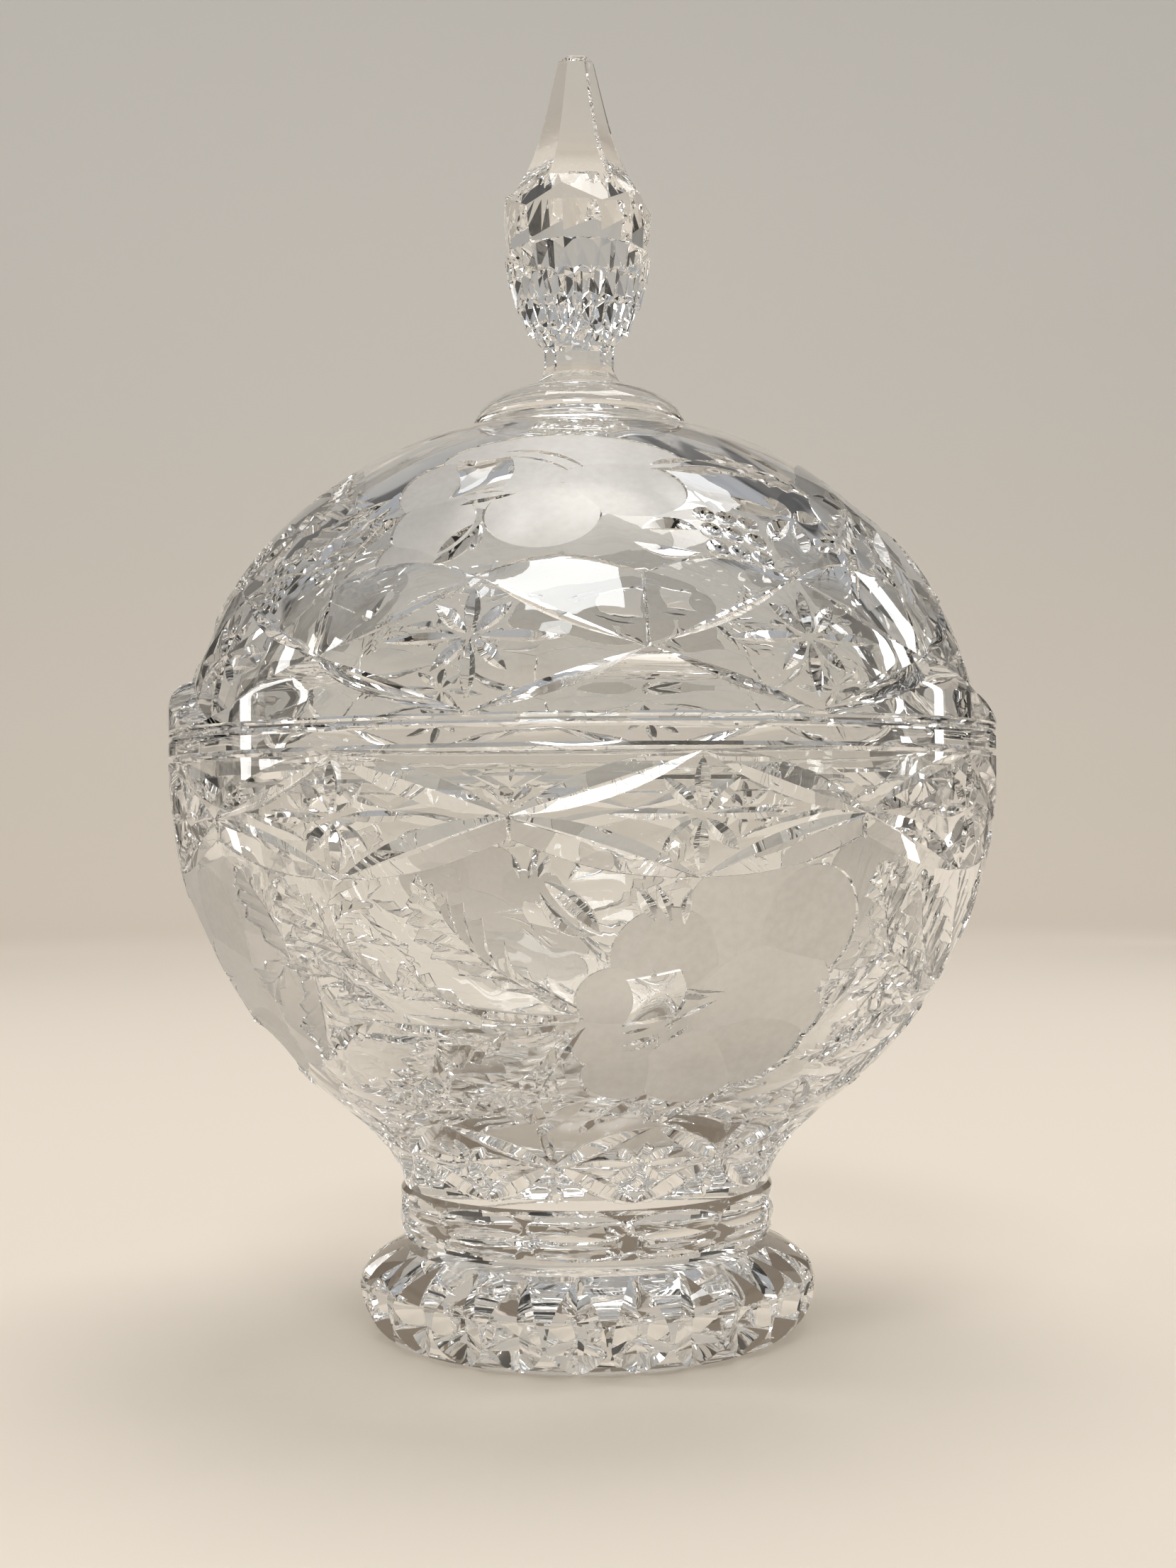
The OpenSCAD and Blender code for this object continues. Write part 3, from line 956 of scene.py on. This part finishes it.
def finial_rings():
    """Rings of (radius, turn, height) from the stem's foot up to the tip."""
    turns = [360 * k / SIDES for k in range(SIDES)]
    knop_z = finial_z + STEM_H
    top_z = knop_z + KNOP_H

    def twelve(z, r):
        return [(flats(r, turn, knop_sides), turn, z) for turn in turns]

    rings = [twelve(finial_z + up, r) for up, r in (
        (-1.2, stem_foot_r), (0.5, stem_foot_r), (1.6, STEM_R + 0.3), (2.8, STEM_R), (STEM_H - 0.8, STEM_R),
        (STEM_H + 0.2, NECK_R), (STEM_H + 1.3, NECK_R + 0.4))]

    # Rows of upright prisms, each row turned by half a prism from the row below it
    rows, first, last = 3, knop_z + 1.6, top_z - 7.6
    row_h = (last - first) / rows
    for i in range(rows):
        for step in (0.06, 0.94):
            z = first + row_h * (i + step)
            t = (z - knop_z) / KNOP_H
            r = NECK_R + (shoulder_r * 0.97 - NECK_R) * math.sin(math.radians(90 * min(1, t * 1.3))) ** 0.8
            ring = []
            for k, turn in enumerate(turns):
                out = 1 if (k + i) % 2 else -1
                away = out * (1 if step > 0.5 else -1)
                ring.append((r * (0.965 + 0.05 * out), turn, z + 0.45 * away))
            rings.append(ring)
    rings.append(twelve(last + 0.9, shoulder_r * 0.93))

    # The shoulder's corners stand high and low by turns
    def shoulder_z(turn):
        away = (turn + 15) % 60
        return top_z + SHOULDER_H * (1 - 4 * min(away, 60 - away) / 60)
    rings.append([(flats(shoulder_r, turn, knop_sides), turn, shoulder_z(turn)) for turn in turns])

    # Six-sided concave spire
    rows, spire_z = 12, top_z + 3.6
    for i in range(rows + 1):
        z = spire_z + (tip_z - 0.35 - spire_z) * i / rows
        t = (z - top_z) / (tip_z - top_z)
        apothem = SPIRE_TIP + SPIRE_TAPER * (1 - t) + SPIRE_FLARE * (1 - t) ** 5
        corner_r = apothem / math.cos(math.radians(180 / spire_sides))
        rings.append([(flats(corner_r, turn, spire_sides), turn, z) for turn in turns])
    rings.append([(r * 0.8, turn, tip_z) for r, turn, _ in rings[-1]])
    return rings


def make_finial():
    """Faceted finial, as a closed solid that dips into the disc."""
    bm = bmesh.new()
    rows = [
        [bm.verts.new(place_at(r, turn + FINIAL_TURN, z)) for r, turn, z in ring] for ring in finial_rings()
    ]
    for low, high in zip(rows, rows[1:]):
        for k in range(SIDES):
            m = (k + 1) % SIDES
            bm.faces.new((low[k], low[m], high[m], high[k]))
    bm.faces.new(rows[0][::-1])
    bm.faces.new(rows[-1])
    bmesh.ops.recalc_face_normals(bm, faces=bm.faces)
    bmesh.ops.triangulate(bm, faces=bm.faces)
    return new_object("finial_blank", bm)


def make_lid():
    base = lathe("lid_blank", lid_profile(), hollow_ripple)
    groups = lid_band() + lid_flower() + [make_finial()]
    mesh = carve(base, groups, GLASS)
    low = seam_z + seam_gap / 2
    part_off(mesh, "lid_flange", None, low, "lid")
    part_off(mesh, "lid_dome", low, disc_z, "lid", frosted_too=True)
    part_off(mesh, "finial_disc", disc_z, finial_z + 0.02, "lid")
    part_off(mesh, "finial", finial_z + 0.02, None, "lid", sharp=6.0)


# ---------------------------------------------------------------- stage, lights and camera

def make_stage():
    """Round sweep: a pale floor that curves up into a wall on every side."""
    bm = bmesh.new()
    radius, bend, wall, count = 1.5, 0.35, 1.4, 96
    outline = [(0.02, 0), (0.6, 0), (radius - bend, 0)]
    outline += [(radius - bend + bend * math.sin(math.radians(a)), bend - bend * math.cos(math.radians(a)))
                for a in range(10, 91, 10)]
    outline += [(radius, wall)]
    rings = [[bm.verts.new((r * math.cos(2 * math.pi * i / count), r * math.sin(2 * math.pi * i / count), z))
              for i in range(count)] for r, z in outline]
    bm.faces.new(rings[0])
    for low, high in zip(rings, rings[1:]):
        for i in range(count):
            j = (i + 1) % count
            bm.faces.new((low[i], low[j], high[j], high[i]))
    for face in bm.faces:
        face.smooth = True
    bmesh.ops.recalc_face_normals(bm, faces=bm.faces)
    sweep = new_object("sweep", bm)
    floor_paint, wall_paint = (0.70, 0.63, 0.54, 1), (0.62, 0.60, 0.565, 1)
    room_shades = (0.03, 0.03, 0.03, 1), (0.6, 0.6, 0.6, 1)
    sweep.data.materials.append(stage_material("sweep_paint", floor_paint, wall_paint, room_shades, wall))


def add_light(name, place, size, power, colour):
    lamp = bpy.data.lights.new(name, "AREA")
    lamp.shape = "RECTANGLE"
    lamp.size, lamp.size_y = size
    lamp.energy = power
    lamp.color = colour
    obj = bpy.data.objects.new(name, lamp)
    obj.location = place
    aim = Vector((0, 0, 0.09)) - Vector(place)
    obj.rotation_euler = aim.to_track_quat("-Z", "Y").to_euler()
    bpy.context.scene.collection.objects.link(obj)


def add_flag(turn, distance, width, low, high):
    """Upright black card beside the set, out of the camera's sight, that darkens the edges of the glass."""
    bm = bmesh.new()
    a = math.radians(turn)
    middle = Vector((math.sin(a), -math.cos(a), 0)) * distance
    side = Vector((math.cos(a), math.sin(a), 0)) * (width / 2)
    corners = [middle - side, middle + side]
    bm.faces.new([bm.verts.new(p + Vector((0, 0, z))) for p, z in (
        (corners[0], low), (corners[1], low), (corners[1], high), (corners[0], high))])
    flag = new_object("flag", bm)
    flag.data.materials.append(flag_paint)
    flag.visible_camera = False
    flag.visible_shadow = False


def make_lights():
    for turn, width in ((-112, 0.30), (118, 0.26), (-149, 0.20), (151, 0.22)):
        add_flag(turn, distance=0.95, width=width, low=0.02, high=0.75)
    add_light("window", (-0.15, -0.92, 1.25), (0.42, 0.26), 4, (0.93, 0.97, 1.0))
    add_light("overhead", (0.1, 0.25, 1.35), (0.9, 0.7), 9.5, (1.0, 0.98, 0.95))
    add_light("left_strip", (-1.1, 0.15, 0.45), (0.10, 0.8), 2.4, (1.0, 0.98, 0.96))
    add_light("right_strip", (1.1, 0.35, 0.45), (0.10, 0.8), 2.4, (0.97, 0.98, 1.0))
    world = bpy.data.worlds.new("room")
    world.use_nodes = True
    back = world.node_tree.nodes["Background"]
    back.inputs["Color"].default_value = (0.80, 0.82, 0.86, 1)
    back.inputs["Strength"].default_value = 0.5
    bpy.context.scene.world = world


def make_camera():
    """The photograph's own view: level with the jar's shoulder, tipped up and rolled a little."""
    distance, eye, aside = 0.3175, 0.0787, 0.0008
    tip_up, roll = 0.9, -0.57
    sensor, focal_share = 36, 1.7275
    data = bpy.data.cameras.new("camera")
    data.sensor_fit = "HORIZONTAL"
    data.sensor_width = sensor
    data.lens = sensor * focal_share
    camera = bpy.data.objects.new("camera", data)
    bpy.context.scene.collection.objects.link(camera)
    turn = Matrix.Rotation(math.radians(90 + tip_up), 4, "X") @ Matrix.Rotation(math.radians(roll), 4, "Z")
    camera.matrix_world = Matrix.Translation((aside, -distance, eye)) @ turn
    bpy.context.scene.camera = camera


def set_light_paths():
    cycles = bpy.context.scene.cycles
    cycles.max_bounces = 24
    cycles.transmission_bounces = 24
    cycles.glossy_bounces = 10
    cycles.diffuse_bounces = 4
    cycles.sample_clamp_indirect = 8.0
    cycles.blur_glossy = 0.3
    bpy.context.scene.view_settings.view_transform = "Standard"


make_camera()
make_jar()
make_lid()
make_stage()
make_lights()
set_light_paths()
